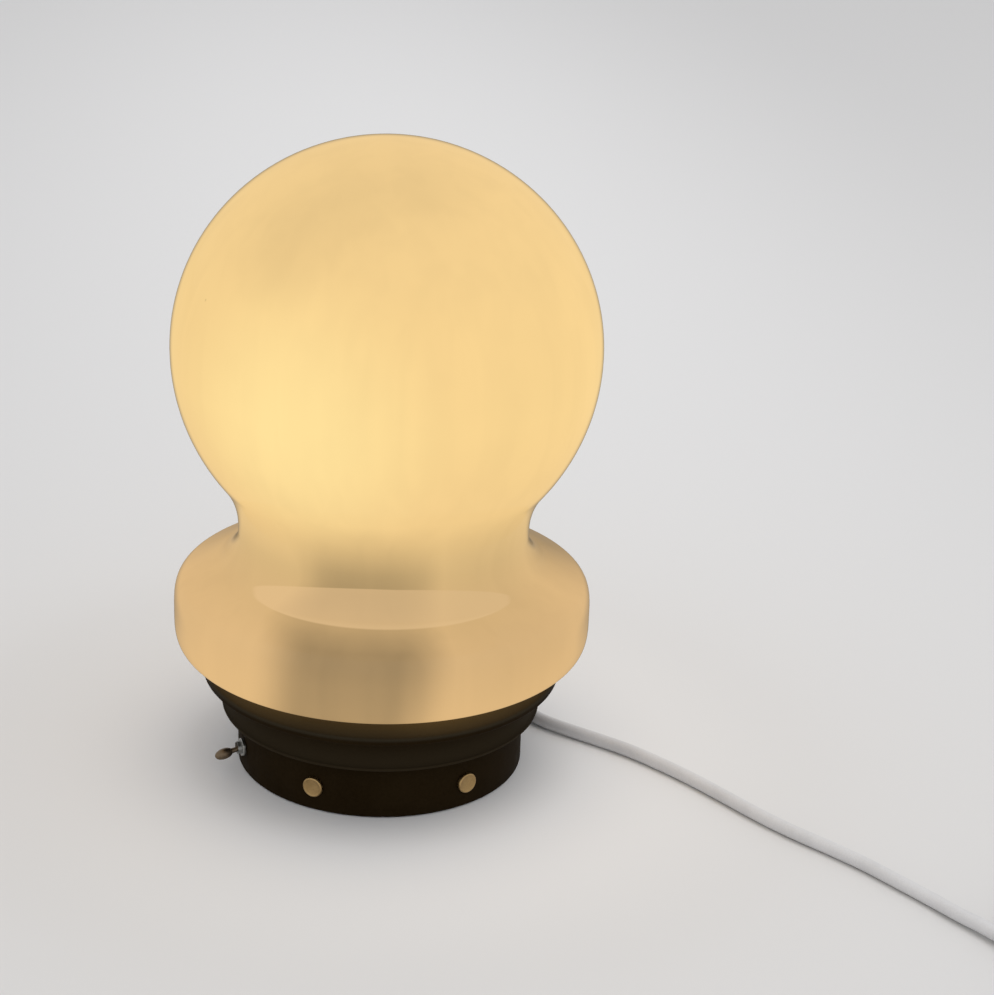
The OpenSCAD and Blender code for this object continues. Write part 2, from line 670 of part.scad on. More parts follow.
// Bat-shaped lever, drooping at rest, with a ball at its pivot
module switch_lever() {
    ball_r = bushing_bore_r - thread_clear;
    end_half = lever_end_len / 2;
    color("#8a7048") difference() {
        on_wall(switch_angle, fixing_h) translate([0, 0, lever_pivot]) rotate([0, lever_droop, 0])
            turned(concat(
                [[0, -lever_tail], [lever_tail_r, -lever_tail]],
                arc(0, 0, ball_r, -acos(lever_tail_r / ball_r), acos(lever_neck_r / ball_r), 8),
                oval(0, lever_len - end_half, lever_end_r, end_half, -acos(lever_neck_r / lever_end_r), 90, 12)));
        pivot_rod(lever_pin_r + thread_clear, 3 * bushing_r);
    }
}

// Pin across the bushing that the lever turns on
module switch_pin() {
    color("silver") pivot_rod(lever_pin_r, 2 * bushing_r - slip_clear);
}

// Solder lugs at the back of the switch
module switch_terminals() {
    color("goldenrod") on_wall(switch_angle, fixing_h) for (side = [-1, 1])
        translate([-terminal_w / 2, (side * terminal_gap - terminal_t) / 2, switch_back - terminal_len])
            cube([terminal_w, terminal_t, terminal_len]);
}

// Ribbed sleeve that the cord leaves the base through
module strain_relief() {
    step = (relief_end - relief_start - 4) / relief_rings;
    slope = (relief_r - relief_end_r) / (relief_end - relief_start);
    groove = 0.7;
    ribs = [for (i = [0:relief_rings - 1]) let (z = relief_start + 3 + i * step, r = relief_r - slope * (3 + i * step))
        for (p = [[r, z], [r - groove, z + 0.6], [r - groove, z + 1.8], [r - slope * 2.4, z + 2.4]]) p];
    color("whitesmoke") on_wall(outlet_angle, outlet_h) turned(concat(
        [[0, relief_back - relief_flange_t], [relief_flange_r, relief_back - relief_flange_t],
         [relief_flange_r, relief_back], [relief_neck_r, relief_back], [relief_neck_r, relief_start],
         [relief_r, relief_start]],
        ribs,
        [[relief_end_r, relief_end], [0, relief_end]]));
}

// End of the cord's sheath inside the base
module inner_sheath() {
    color("whitesmoke") on_wall(outlet_angle, outlet_h) translate([0, 0, sheath_end])
        cylinder(h = sheath_len, r = cord_d / 2);
}

// Wire from the cord to the switch
module wire_line() {
    color("saddlebrown") swept(wire_line_route, wire_r, 8);
}

// Wire from the switch up to the lampholder
module wire_switched() {
    color("saddlebrown") swept(wire_switched_route, wire_r, 8);
}

// Wire from the cord up to the lampholder
module wire_neutral() {
    color("royalblue") swept(wire_neutral_route, wire_r, 8);
}

// Cord that lies free on the table
module cord() {
    color("whitesmoke") swept(cord_path, cord_d / 2, 10);
}

// Rest of the cord, wound in two layers of turns
module cord_coil() {
    color("whitesmoke") swept(coil_path, cord_d / 2, 6);
}

// Cord between the coil and the plug
module cord_tail() {
    color("whitesmoke") swept(tail_path, cord_d / 2, 10);
}

// Band round the bundle of turns
module cord_tie() {
    tie_angle = 100;
    tie_w = 8;
    tie_t = 1;
    near_r = coil_in_r - cord_d / 2 - 1;
    far_r = coil_in_r + coil_pitch * coil_turns / 2 + cord_d / 2 + 1;
    low_z = coil_lift - 0.4;
    high_z = coil_high_z + cord_d / 2 + 0.4;
    color("black") translate([coil_centre[0], coil_centre[1], 0]) rotate([0, 0, tie_angle])
        translate([0, tie_w / 2, 0]) rotate([90, 0, 0]) linear_extrude(tie_w) difference() {
            polygon(round_rect(near_r - tie_t, low_z - tie_t, far_r + tie_t, high_z + tie_t, 4));
            polygon(round_rect(near_r, low_z, far_r, high_z, 3));
        }
}

// Places a piece whose +X points along the plug, at the end of the cord
module at_plug() {
    translate(plug_rear) rotate([0, 0, coil_end_dir]) children();
}

// Moulded two-pin plug with a tapered neck
module plug_body() {
    shoulder = plug_w / 2;
    color("whitesmoke") at_plug() union() {
        rotate([0, 90, 0]) turned([[0, 0], [cord_d / 2 + 1, 0], [plug_t / 2 - 1.5, plug_neck_len],
                                   [plug_t / 2 - 1.5, plug_neck_len + 2], [0, plug_neck_len + 2]]);
        translate([0, 0, -plug_t / 2]) linear_extrude(plug_t) polygon(concat(
            [[plug_neck_len, -plug_t / 2 + 1.5]],
            arc(plug_len - 12, -shoulder + 4, 4, 210, 270, 4),
            [[plug_len, -shoulder], [plug_len, shoulder]],
            arc(plug_len - 12, shoulder - 4, 4, 90, 150, 4),
            [[plug_neck_len, plug_t / 2 - 1.5]]));
    }
}

// Round pins of the plug
module plug_pins() {
    color("silver") at_plug() for (side = [-1, 1]) translate([plug_len, side * pin_gap / 2, 0]) rotate([0, 90, 0])
        turned(concat([[0, 0], [pin_r, 0]], arc(0, pin_len - pin_r, pin_r, 0, 90, 6)));
}

glass_shade();
gallery_ring();
base_drum();
carrier();
seat_gasket();
drum_screws();
base_pillars();
bottom_cover();
cover_screws();
felt_pad();
nipple();
nipple_nuts();
nipple_washer();
holder_cap();
holder_shell();
holder_insulator();
holder_sleeve();
holder_contact();
holder_terminals();
bulb_envelope();
bulb_cap();
bulb_insulator();
bulb_contact();
switch_body();
switch_bushing();
switch_nut();
switch_lever();
switch_pin();
switch_terminals();
strain_relief();
inner_sheath();
wire_line();
wire_switched();
wire_neutral();
cord();
cord_coil();
cord_tail();
cord_tie();
plug_body();
plug_pins();
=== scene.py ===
import json
import math

import bpy
from mathutils import Matrix, Vector


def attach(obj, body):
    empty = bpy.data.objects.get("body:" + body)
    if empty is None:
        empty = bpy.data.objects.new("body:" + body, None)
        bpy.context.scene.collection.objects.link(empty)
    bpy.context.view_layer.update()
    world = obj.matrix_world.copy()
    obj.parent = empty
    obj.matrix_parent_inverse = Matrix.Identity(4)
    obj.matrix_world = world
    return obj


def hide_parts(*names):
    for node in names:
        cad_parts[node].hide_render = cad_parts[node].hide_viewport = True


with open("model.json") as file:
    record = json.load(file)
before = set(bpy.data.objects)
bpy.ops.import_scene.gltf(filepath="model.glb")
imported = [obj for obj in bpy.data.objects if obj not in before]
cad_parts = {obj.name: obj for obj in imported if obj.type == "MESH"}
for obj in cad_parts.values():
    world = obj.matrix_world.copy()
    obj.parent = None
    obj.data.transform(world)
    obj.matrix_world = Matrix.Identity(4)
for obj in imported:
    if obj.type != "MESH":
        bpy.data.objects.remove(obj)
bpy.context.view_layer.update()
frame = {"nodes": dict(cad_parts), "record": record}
nodes = frame["nodes"]
scene = bpy.context.scene
scene.view_settings.view_transform = "Standard"

MM = 0.001
FULL_TURN = 2 * math.pi


# Camera, with the photograph's own perspective

PHOTO_WIDTH = 994
FOCAL_PIXELS = 2502
SENSOR = 36
CAMERA_PLACE = (-0.0959, -1.0958, 0.5745)
CAMERA_TURN, CAMERA_DIP, CAMERA_ROLL = -7.77, 21.76, 2.17


def turned(angle, axis):
    """A turn about an axis, in degrees."""
    return Matrix.Rotation(math.radians(angle), 4, axis)


def place_camera():
    data = bpy.data.cameras.new("table_camera")
    data.sensor_fit = "HORIZONTAL"
    data.sensor_width = SENSOR
    data.lens = SENSOR * FOCAL_PIXELS / PHOTO_WIDTH
    camera = bpy.data.objects.new("table_camera", data)
    scene.collection.objects.link(camera)
    stand = Matrix.Translation(CAMERA_PLACE)
    camera.matrix_world = (
        stand @ turned(CAMERA_TURN, "Z") @ turned(90 - CAMERA_DIP, "X") @ turned(CAMERA_ROLL, "Z")
    )
    scene.camera = camera


place_camera()


# Finishes: each is a node material on Object coordinates

class Finish:
    """A node material with one skin shader and short calls for its patterns."""

    def __init__(self, name):
        self.material = bpy.data.materials.new(name)
        self.material.use_nodes = True
        self.tree = self.material.node_tree
        self.tree.nodes.clear()
        self.skin = self.node("ShaderNodeBsdfPrincipled")
        out = self.node("ShaderNodeOutputMaterial")
        self.link(self.skin.outputs["BSDF"], out.inputs["Surface"])
        self.place = self.node("ShaderNodeTexCoord").outputs["Object"]

    def node(self, kind):
        return self.tree.nodes.new(kind)

    def link(self, source, target):
        self.tree.links.new(source, target)

    def put(self, target, value):
        if isinstance(value, bpy.types.NodeSocket):
            self.link(value, target)
        else:
            target.default_value = value

    def set(self, **values):
        """Sets the skin's sockets, named as in the shader with _ for a space."""
        for name, value in values.items():
            label = name.replace("_", " ")
            socket = next(s for s in self.skin.inputs if s.name.lower() == label)
            self.put(socket, value)

    def mapped(self, scale):
        mapping = self.node("ShaderNodeMapping")
        mapping.inputs["Scale"].default_value = scale
        self.link(self.place, mapping.inputs["Vector"])
        return mapping.outputs["Vector"]

    def noise(self, scale, detail=3.0, rough=0.5, vector=None, distort=0.0):
        texture = self.node("ShaderNodeTexNoise")
        texture.inputs["Scale"].default_value = scale
        texture.inputs["Detail"].default_value = detail
        texture.inputs["Roughness"].default_value = rough
        texture.inputs["Distortion"].default_value = distort
        self.link(vector or self.place, texture.inputs["Vector"])
        return texture.outputs["Fac"]

    def axes(self):
        split = self.node("ShaderNodeSeparateXYZ")
        self.link(self.place, split.inputs[0])
        return split.outputs["X"], split.outputs["Y"], split.outputs["Z"]

    def calc(self, kind, a, b=0.0):
        step = self.node("ShaderNodeMath")
        step.operation = kind
        self.put(step.inputs[0], a)
        self.put(step.inputs[1], b)
        return step.outputs[0]

    def plus(self, a, b):
        return self.calc("ADD", a, b)

    def less(self, a, b):
        return self.calc("SUBTRACT", a, b)

    def larger(self, a, b):
        return self.calc("MAXIMUM", a, b)

    def smaller(self, a, b):
        return self.calc("MINIMUM", a, b)

    def share(self, a, b):
        return self.calc("DIVIDE", a, b)

    def times(self, first, *others):
        for other in others:
            first = self.calc("MULTIPLY", first, other)
        return first

    def length(self, a, b):
        """The length of a level line with these two sides."""
        return self.calc("SQRT", self.plus(self.times(a, a), self.times(b, b)))

    def span(self, value, low, high, to_low=0.0, to_high=1.0, smooth=True):
        """A value from low to high as one from to_low to to_high, held at both ends."""
        reach = self.node("ShaderNodeMapRange")
        reach.interpolation_type = "SMOOTHSTEP" if smooth else "LINEAR"
        self.put(reach.inputs["Value"], value)
        ends = {"From Min": low, "From Max": high, "To Min": to_low, "To Max": to_high}
        for name, number in ends.items():
            reach.inputs[name].default_value = number
        return reach.outputs["Result"]

    def fade(self, value, low, high, full=1.0):
        """Full up to low, falling to 0 at high."""
        return self.span(value, low, high, full, 0.0)

    def near(self, point, inner, outer):
        """1 close to a point, in metres, falling to 0 at the outer distance."""
        gap = self.node("ShaderNodeVectorMath")
        gap.operation = "DISTANCE"
        self.link(self.place, gap.inputs[0])
        gap.inputs[1].default_value = point
        return self.fade(gap.outputs["Value"], inner, outer)

    def ramp(self, value, *stops):
        band = self.node("ShaderNodeValToRGB")
        marks = band.color_ramp.elements
        while len(marks) < len(stops):
            marks.new(0.5)
        for mark, (place, colour) in zip(marks, stops):
            mark.position = place
            mark.color = (*colour[:3], 1.0)
        self.put(band.inputs[0], value)
        return band.outputs["Color"]

    def mix(self, amount, a, b, kind="MIX"):
        blend = self.node("ShaderNodeMix")
        blend.data_type = "RGBA"
        blend.blend_type = kind
        self.put(blend.inputs[0], amount)
        self.put(blend.inputs[6], a)
        self.put(blend.inputs[7], b)
        return blend.outputs[2]

    def bump(self, height, strength, distance):
        relief = self.node("ShaderNodeBump")
        relief.inputs["Strength"].default_value = strength
        relief.inputs["Distance"].default_value = distance
        self.link(height, relief.inputs["Height"])
        self.link(relief.outputs["Normal"], self.skin.inputs["Normal"])


def rgb(*levels):
    """A screen colour of 0 to 255 as a linear node colour."""
    linear = [((v / 255 + 0.055) / 1.055) ** 2.4 if v > 10 else v / 255 / 12.92 for v in levels]
    return (*linear, 1.0)


# Painted glow and painted shade of the lit glass shade. Places, heights and reaches are in metres on it, and
# a dim is a share of light lost

GLASS_LOW, GLASS_HIGH = 0.042, 0.306
# Painted glow by height, from the collar to the crown
GLASS_GLOW = [
    (0.00, (0.412, 0.260, 0.110)), (0.20, (0.366, 0.232, 0.103)), (0.30, (0.378, 0.253, 0.109)),
    (0.42, (0.462, 0.313, 0.130)), (0.60, (0.496, 0.344, 0.141)), (0.78, (0.478, 0.328, 0.134)),
    (1.00, (0.434, 0.295, 0.124)),
]
# Painted glow, brighter where the bulb shines through the front of the globe
BRIGHT_PLACE, BRIGHT_INNER, BRIGHT_OUTER = (-0.048, -0.088, 0.198), 0.005, 0.080
BRIGHT_SHARE, BRIGHT_TONE = 0.6, (0.553, 0.428, 0.182, 1)

# Painted shade of the lampholder seen through the glass: its depth by height, its sides and its lean
HOLDER_HIGH = 0.152
HOLDER_DIM = [
    (0.000, 0.45), (0.200, 0.470), (0.355, 0.500), (0.440, 0.54), (0.485, 0.555), (0.516, 0.44),
    (0.536, 0.34), (0.565, 0.39), (0.600, 0.44), (0.650, 0.46), (0.695, 0.415), (0.740, 0.365),
    (0.810, 0.22), (0.890, 0.09), (1.000, 0.00),
]
LEFT_ENDS, LEFT_LEAN = (-0.077, -0.050), 0.12
RIGHT_ENDS, RIGHT_LEAN = (-0.022, 0.012), 0.22
LEAN_END, NECK_ENDS, NECK_IN = 0.095, (0.098, 0.117), 0.014
FACE_NEAR, FACE_FAR = 0.045, 0.060
BACK_REACH, BACK_SHIFT = 0.01, 0.02

# Painted shade in the crease under the waist, all round the glass
CREASE_RISE, CREASE_FALL, CREASE_DIM = (0.092, 0.104), (0.116, 0.132), 0.07
# Place, inner and outer reach, share dimmed: three patches of painted shade on the crown, four on the
# shoulders beside the waist, then two specks in the glass
GLASS_SHADE_AND_SPECKS = [
    ((-0.046, -0.055, 0.278), 0.006, 0.042, 0.085),
    ((-0.021, -0.052, 0.290), 0.004, 0.036, 0.080),
    ((0.0085, -0.048, 0.296), 0.002, 0.034, 0.055),
    ((0.072, 0.036, 0.104), 0.008, 0.085, 0.43),
    ((0.095, -0.030, 0.080), 0.010, 0.075, 0.05),
    ((0.046, -0.061, 0.103), 0.012, 0.060, 0.14),
    ((-0.076, 0.026, 0.098), 0.002, 0.026, 0.06),
    ((0.0462, -0.0453, 0.2846), 0.0003, 0.0012, 0.35),
    ((-0.0841, -0.0405, 0.2443), 0.0002, 0.0010, 0.25),
]
STREAK_SCALE, STREAK_RANGE, STREAK_DIM = (70, 70, 3.5), (0.35, 0.70), (-0.014, 0.014)
CLOUD_SCALE, CLOUD_RANGE, CLOUD_DIM = 16, (0.35, 0.65), (-0.015, 0.020)

# Painted reflection: a pale lens-shaped patch on the front of the bulge, with a painted highlight along its
# lower rim
PATCH_LOW, PATCH_TOP, PATCH_TOP_X = 0.1015, 0.1166, -0.003
PATCH_DROP, PATCH_TILT = 3.27, 0.035
PATCH_X, PATCH_REACH = -0.0045, 0.0585
PATCH_EDGE, PATCH_RIM, PATCH_FRONT = (0.85, 1.15), (-0.95, -0.75), (-0.03, -0.02)
PATCH_SHARE, PATCH_TURN = 0.5, (-0.02, 0.04)
PATCH_LEFT, PATCH_RIGHT = (0.420, 0.278, 0.140, 1), (0.360, 0.242, 0.122, 1)
PATCH_RIM_HIGHLIGHT = (0.014, 0.011, 0.007, 1)

# Painted shade at the glass outline and on the flank of the bulge
OUTER_FACING, OUTER_DARK = (0.82, 1.0), 0.9
FLANK_FACING, FLANK_RISE = (0.66, 0.96), (0.052, 0.086)
FLANK_FALL, FLANK_DARK = (0.097, 0.110), 0.55
EDGE_SHADE_TONE = (0.06, 0.05, 0.04, 1)


def holder_dim(glass, x, y, z):
    """Painted shade: the dim shape of the lampholder seen through the glass, on the front and back of the
    shade.
    """
    low = glass.smaller(z, LEAN_END)
    neck = glass.span(z, *NECK_ENDS)
    middle = glass.less(x, glass.span(y, -BACK_REACH, BACK_REACH, 0.0, BACK_SHIFT))
    left = glass.less(middle, glass.times(low, LEFT_LEAN))
    left = glass.less(left, glass.times(neck, NECK_IN))
    right = glass.less(middle, glass.times(low, RIGHT_LEAN))
    sides = glass.times(glass.span(left, *LEFT_ENDS), glass.fade(right, *RIGHT_ENDS))
    faces = glass.larger(glass.fade(y, -FACE_FAR, -FACE_NEAR), glass.span(y, FACE_NEAR, FACE_FAR))
    greys = [(place, (dim, dim, dim)) for place, dim in HOLDER_DIM]
    depth = glass.ramp(glass.span(z, GLASS_LOW, HOLDER_HIGH, smooth=False), *greys)
    return glass.times(sides, faces, depth)


def glass_dim(glass, x, y, z):
    """All that dims the painted glow: painted shade of the lampholder, of the crease under the waist and of
    the crown and shoulders, specks in the glass, streaks and clouds.
    """
    crease = glass.times(glass.span(z, *CREASE_RISE), glass.fade(z, *CREASE_FALL, CREASE_DIM))
    dim = glass.larger(holder_dim(glass, x, y, z), crease)
    for place, inner, outer, amount in GLASS_SHADE_AND_SPECKS:
        spot = glass.times(glass.near(place, inner, outer), amount)
        dim = glass.larger(dim, spot)
    streaks = glass.noise(1.0, 2, vector=glass.mapped(STREAK_SCALE), distort=0.4)
    dim = glass.plus(dim, glass.span(streaks, *STREAK_RANGE, *STREAK_DIM))
    return glass.plus(dim, glass.span(glass.noise(CLOUD_SCALE), *CLOUD_RANGE, *CLOUD_DIM))


def lens_reflection(glass, x, y, z, glow):
    """Lays a painted reflection, a pale patch shaped like a lens, over the glow at the front of the bulge,
    with a lighter painted rim along its lower edge.
    """
    across = glass.less(x, PATCH_TOP_X)
    top = glass.less(PATCH_TOP, glass.times(across, across, PATCH_DROP))
    top = glass.less(top, glass.times(glass.smaller(x, 0.0), PATCH_TILT))
    half = glass.times(glass.less(top, PATCH_LOW), 0.5)
    up = glass.share(glass.less(glass.less(z, PATCH_LOW), half), half)
    up_square = glass.times(up, up)
    aside = glass.share(glass.less(x, PATCH_X), PATCH_REACH)
    aside_square = glass.times(aside, aside)
    aside_sixth = glass.times(aside_square, aside_square, aside_square)
    rounding = glass.plus(glass.times(up_square, up_square), aside_sixth)
    patch = glass.times(glass.fade(rounding, *PATCH_EDGE), glass.fade(y, *PATCH_FRONT))
    lower_rim = glass.times(patch, glass.fade(up, *PATCH_RIM))
    tone = glass.mix(glass.span(x, *PATCH_TURN), PATCH_LEFT, PATCH_RIGHT)
    glow = glass.mix(glass.times(patch, PATCH_SHARE), glow, tone)
    return glass.mix(lower_rim, glow, PATCH_RIM_HIGHLIGHT, "ADD")


def turned_away_shade(glass, z):
    """Painted shade where the glass turns away from the eye, wider on the flank of the bulge."""
    weight = glass.node("ShaderNodeLayerWeight")
    weight.inputs["Blend"].default_value = 0.5
    facing = weight.outputs["Facing"]
    flank = glass.times(glass.span(z, *FLANK_RISE), glass.fade(z, *FLANK_FALL, FLANK_DARK))
    wide = glass.times(glass.span(facing, *FLANK_FACING), flank)
    return glass.larger(glass.span(facing, *OUTER_FACING, 0.0, OUTER_DARK), wide)


def opal_glass():
    """Lit opal glass: a painted warm glow, with painted shade where the lampholder stands behind it, under a
    thin gloss.
    """
    glass = Finish("lit_opal_glass")
    x, y, z = glass.axes()
    glow = glass.ramp(glass.span(z, GLASS_LOW, GLASS_HIGH, smooth=False), *GLASS_GLOW)
    bright = glass.near(BRIGHT_PLACE, BRIGHT_INNER, BRIGHT_OUTER)
    glow = glass.mix(glass.times(bright, BRIGHT_SHARE), glow, BRIGHT_TONE)
    glow = glass.mix(1.0, glow, glass.less(1.0, glass_dim(glass, x, y, z)), "MULTIPLY")
    glow = lens_reflection(glass, x, y, z, glow)
    glass.set(
        base_color=(0.10, 0.082, 0.050, 1),
        roughness=0.45,
        specular_ior_level=0.0,
        coat_weight=0.10,
        coat_roughness=0.05,
        coat_ior=1.45,
        emission_color=glass.mix(turned_away_shade(glass, z), glow, EDGE_SHADE_TONE),
        emission_strength=1.75,
    )
    return glass.material


BULB_LIT_ENDS, BULB_DIM_TONE = (0.096, 0.150), (0.36, 0.25, 0.11, 1)


def bulb_glass():
    """Frosted bulb, lit at its round end and dim at its neck."""
    glass = Finish("lit_bulb_glass")
    tone = glass.ramp(glass.noise(500, 2), (0.3, (0.84, 0.61, 0.29)), (0.7, (0.90, 0.67, 0.34)))
    lit = glass.span(glass.axes()[2], *BULB_LIT_ENDS)
    glass.set(
        base_color=(0.34, 0.31, 0.25, 1),
        roughness=0.4,
        emission_color=glass.mix(lit, BULB_DIM_TONE, tone),
        emission_strength=0.9,
    )
    return glass.material


FINE_SHARE, BLOTCH_SHARE = 0.4, 0.6
GLOSS_SPREAD, RELIEF_DEPTH = 0.06, 0.0003


def solid_finish(name, dark, light, rough, metallic=0.0, specular=0.5, patch=60, grain=900, relief=0.1,
                 stretch=(1, 1, 1)):
    """A finish mottled between two tones, with uneven gloss and a fine relief."""
    finish = Finish(name)
    blotch = finish.noise(patch, 5, 0.6)
    fine = finish.noise(grain, 3, 0.6, finish.mapped(stretch))
    mottle = finish.plus(finish.times(fine, FINE_SHARE), finish.times(blotch, BLOTCH_SHARE))
    finish.set(
        base_color=finish.ramp(mottle, (0.35, dark), (0.65, light)),
        roughness=finish.span(blotch, 0.3, 0.7, rough - GLOSS_SPREAD, rough + GLOSS_SPREAD),
        metallic=metallic,
        specular_ior_level=specular,
    )
    finish.bump(fine, relief, RELIEF_DEPTH)
    return finish


def solid(*given, **looks):
    """The material of a solid finish that needs nothing more."""
    return solid_finish(*given, **looks).material


PAINT_DARK, PAINT_LIGHT = (0.0118, 0.0070, 0.0026), (0.0178, 0.0112, 0.0048)
PAINT_TINT = (1.0, 0.78, 0.45, 1)
# Painted light from the glass on the step under it and on the ring below
STEP_RADII, STEP_RISE = (0.070, 0.086), (0.0478, 0.0496)
STEP_LIT_TONES = [
    (0.0, (0.110, 0.096, 0.066)), (0.5, (0.074, 0.067, 0.047)), (0.8, (0.054, 0.048, 0.034)),
    (1.0, (0.032, 0.027, 0.018)),
]
SWEEP_RISE, SWEEP_FALL = (0.0278, 0.0286), (0.032, 0.046)
SWEEP_SHARE, SWEEP_LIT_TONE = 0.9, (0.026, 0.019, 0.0105, 1)


def base_paint():
    """Dark brown paint; painted light makes the step the glass lights up paler, the ring below a little so.
    """
    paint = solid_finish("dark_base_paint", PAINT_DARK, PAINT_LIGHT, 0.58, specular=0.02, patch=35,
                         grain=700, relief=0.12)
    mottled = paint.skin.inputs["Base Color"].links[0].from_socket
    x, y, z = paint.axes()
    step = paint.ramp(paint.span(paint.length(x, y), *STEP_RADII, smooth=False), *STEP_LIT_TONES)
    lit_sweep = paint.times(paint.span(z, *SWEEP_RISE), paint.fade(z, *SWEEP_FALL))
    tone = paint.mix(paint.times(lit_sweep, SWEEP_SHARE), mottled, SWEEP_LIT_TONE)
    paint.set(
        base_color=paint.mix(paint.span(z, *STEP_RISE), tone, step),
        specular_tint=PAINT_TINT,
    )
    return paint.material


def felt_cloth():
    """Felt with a short nap."""
    felt = solid_finish("base_felt", rgb(40, 45, 34), rgb(66, 72, 56), 0.9, specular=0.05, patch=120,
                        grain=2600, relief=0.8)
    felt.set(sheen_weight=0.4, sheen_roughness=0.6)
    return felt.material


SLOT_FINISH = {
    "opal_glass": opal_glass(),
    "bulb_glass": bulb_glass(),
    "dark_paint": base_paint(),
    "felt": felt_cloth(),
    "brass": solid("dull_brass", rgb(160, 132, 88), rgb(184, 154, 106), 0.36, 1.0, patch=220, grain=1800),
    "zinc_steel": solid("zinc_steel", rgb(150, 150, 146), rgb(184, 184, 180), 0.34, 1.0, patch=90,
                        grain=1200, stretch=(1, 1, 6)),
    "bulb_metal": solid("bulb_metal", rgb(176, 176, 178), rgb(204, 204, 206), 0.3, 1.0, patch=150,
                        grain=1400),
    "dark_rubber": solid("gasket_rubber", rgb(30, 30, 30), rgb(52, 52, 50), 0.7, specular=0.3, relief=0.3),
    "black_plastic": solid("holder_bakelite", rgb(22, 19, 17), rgb(34, 30, 27), 0.34, patch=45, relief=0.06),
    "white_ceramic": solid("insert_ceramic", rgb(214, 208, 194), rgb(232, 228, 218), 0.42, patch=70,
                           relief=0.15),
    "pale_plastic": solid("pale_sheath", rgb(202, 202, 203), rgb(217, 217, 218), 0.5, specular=0.35,
                          patch=40, grain=1500, relief=0.12),
    "brown_plastic": solid("brown_wire", rgb(82, 50, 30), rgb(104, 66, 42), 0.45, patch=140),
    "blue_plastic": solid("blue_wire", rgb(34, 60, 126), rgb(50, 82, 154), 0.45, patch=140),
    "tie_band": solid("tie_band", rgb(20, 20, 20), rgb(42, 42, 42), 0.85, specular=0.2, grain=2200,
                      relief=0.6),
}
LEVER_BRASS = solid("dark_brass", rgb(104, 90, 72), rgb(126, 110, 90), 0.42, 1.0, patch=260, grain=1800)

for part in frame["record"]["subparts"]:
    for seat in nodes[part["node"]].material_slots:
        seat.material = SLOT_FINISH[part["material_slot"]]


# Ways of making a piece. Outlines are in mm

MERGE_GAP = 2e-6
FLAT_ANGLE = 1
RIDGE_STEPS = 6


def settle(piece, body, slot_name, *replaced, finish=None):
    """Puts a finished piece on its body, in its finish, in place of CAD nodes."""
    piece.data.materials.clear()
    piece.data.materials.append(finish or SLOT_FINISH[slot_name])
    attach(piece, body)
    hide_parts(*replaced)
    return piece


def oval(cx, cy, rx, ry, start, end, count):
    """Points along an elliptical arc, in degrees."""
    angles = [math.radians(start + (end - start) * i / count) for i in range(count + 1)]
    return [(cx + rx * math.cos(a), cy + ry * math.sin(a)) for a in angles]


def arc(cx, cy, r, start, end, count):
    """Points along a round arc, in degrees."""
    return oval(cx, cy, r, r, start, end, count)


def thread(r, depth, low, high, pitch):
    """Rounded ridges along a wall, from the foot of a ridge."""
    count = round((high - low) / pitch * RIDGE_STEPS)
    waves = [0.5 + 0.5 * math.cos(FULL_TURN * i / RIDGE_STEPS) for i in range(count + 1)]
    return [(r - depth * wave, low + (high - low) * i / count) for i, wave in enumerate(waves)]


def lathed(name, outline, steps=96, crease=35):
    """Turns an outline of (radius, height) points about the Z axis."""
    bpy.ops.object.select_all(action="DESELECT")
    bpy.ops.mesh.primitive_plane_add(size=0.01, location=(0, 0, 0))
    piece = bpy.context.object
    piece.name = name
    piece.data.name = name
    bpy.ops.object.mode_set(mode="EDIT")
    bpy.ops.mesh.select_all(action="SELECT")
    bpy.ops.mesh.merge(type="CENTER")
    first = outline[0]
    bpy.ops.transform.translate(value=(first[0] * MM, 0, first[1] * MM))
    for here, there in zip(outline, outline[1:]):
        step = ((there[0] - here[0]) * MM, 0, (there[1] - here[1]) * MM)
        bpy.ops.mesh.extrude_region_move(TRANSFORM_OT_translate={"value": step})
    bpy.ops.mesh.select_all(action="SELECT")
    bpy.ops.mesh.spin(steps=steps, angle=FULL_TURN, center=(0, 0, 0), axis=(0, 0, 1))
    bpy.ops.mesh.select_all(action="SELECT")
    bpy.ops.mesh.remove_doubles(threshold=MERGE_GAP)
    bpy.ops.mesh.normals_make_consistent(inside=False)
    bpy.ops.object.mode_set(mode="OBJECT")
    bpy.ops.object.shade_smooth_by_angle(angle=math.radians(crease))
    return piece


def softened(node, name, width, crease=30, segments=2):
    """A copy of a CAD node with its hard edges rounded, width in mm."""
    piece = bpy.data.objects.new(name, nodes[node].data.copy())
    scene.collection.objects.link(piece)
    bpy.ops.object.select_all(action="DESELECT")
    bpy.context.view_layer.objects.active = piece
    piece.select_set(True)
    bpy.ops.object.mode_set(mode="EDIT")
    bpy.ops.mesh.select_all(action="SELECT")
    bpy.ops.mesh.remove_doubles(threshold=MERGE_GAP)
    bpy.ops.mesh.dissolve_limited(angle_limit=math.radians(FLAT_ANGLE))
    bpy.ops.object.mode_set(mode="OBJECT")
    bevel = piece.modifiers.new("rounding", "BEVEL")
    bevel.width = width * MM
    bevel.segments = segments
    bevel.limit_method = "ANGLE"
    bevel.angle_limit = math.radians(crease)
    bpy.ops.object.modifier_apply(modifier="rounding")
    bpy.ops.object.shade_smooth_by_angle(angle=math.radians(crease))
    return piece


def joined(name, pieces):
    """Several pieces as one."""
    bpy.ops.object.select_all(action="DESELECT")
    for piece in pieces:
        piece.select_set(True)
    bpy.context.view_layer.objects.active = pieces[0]
    bpy.ops.object.join()
    pieces[0].name = name
    return pieces[0]


def on_wall(angle, height):
    """The place of a piece whose +Z is an outward radius of the base."""
    return turned(angle, "Z") @ Matrix.Translation((0, 0, height * MM)) @ turned(90, "Y")


# Shade

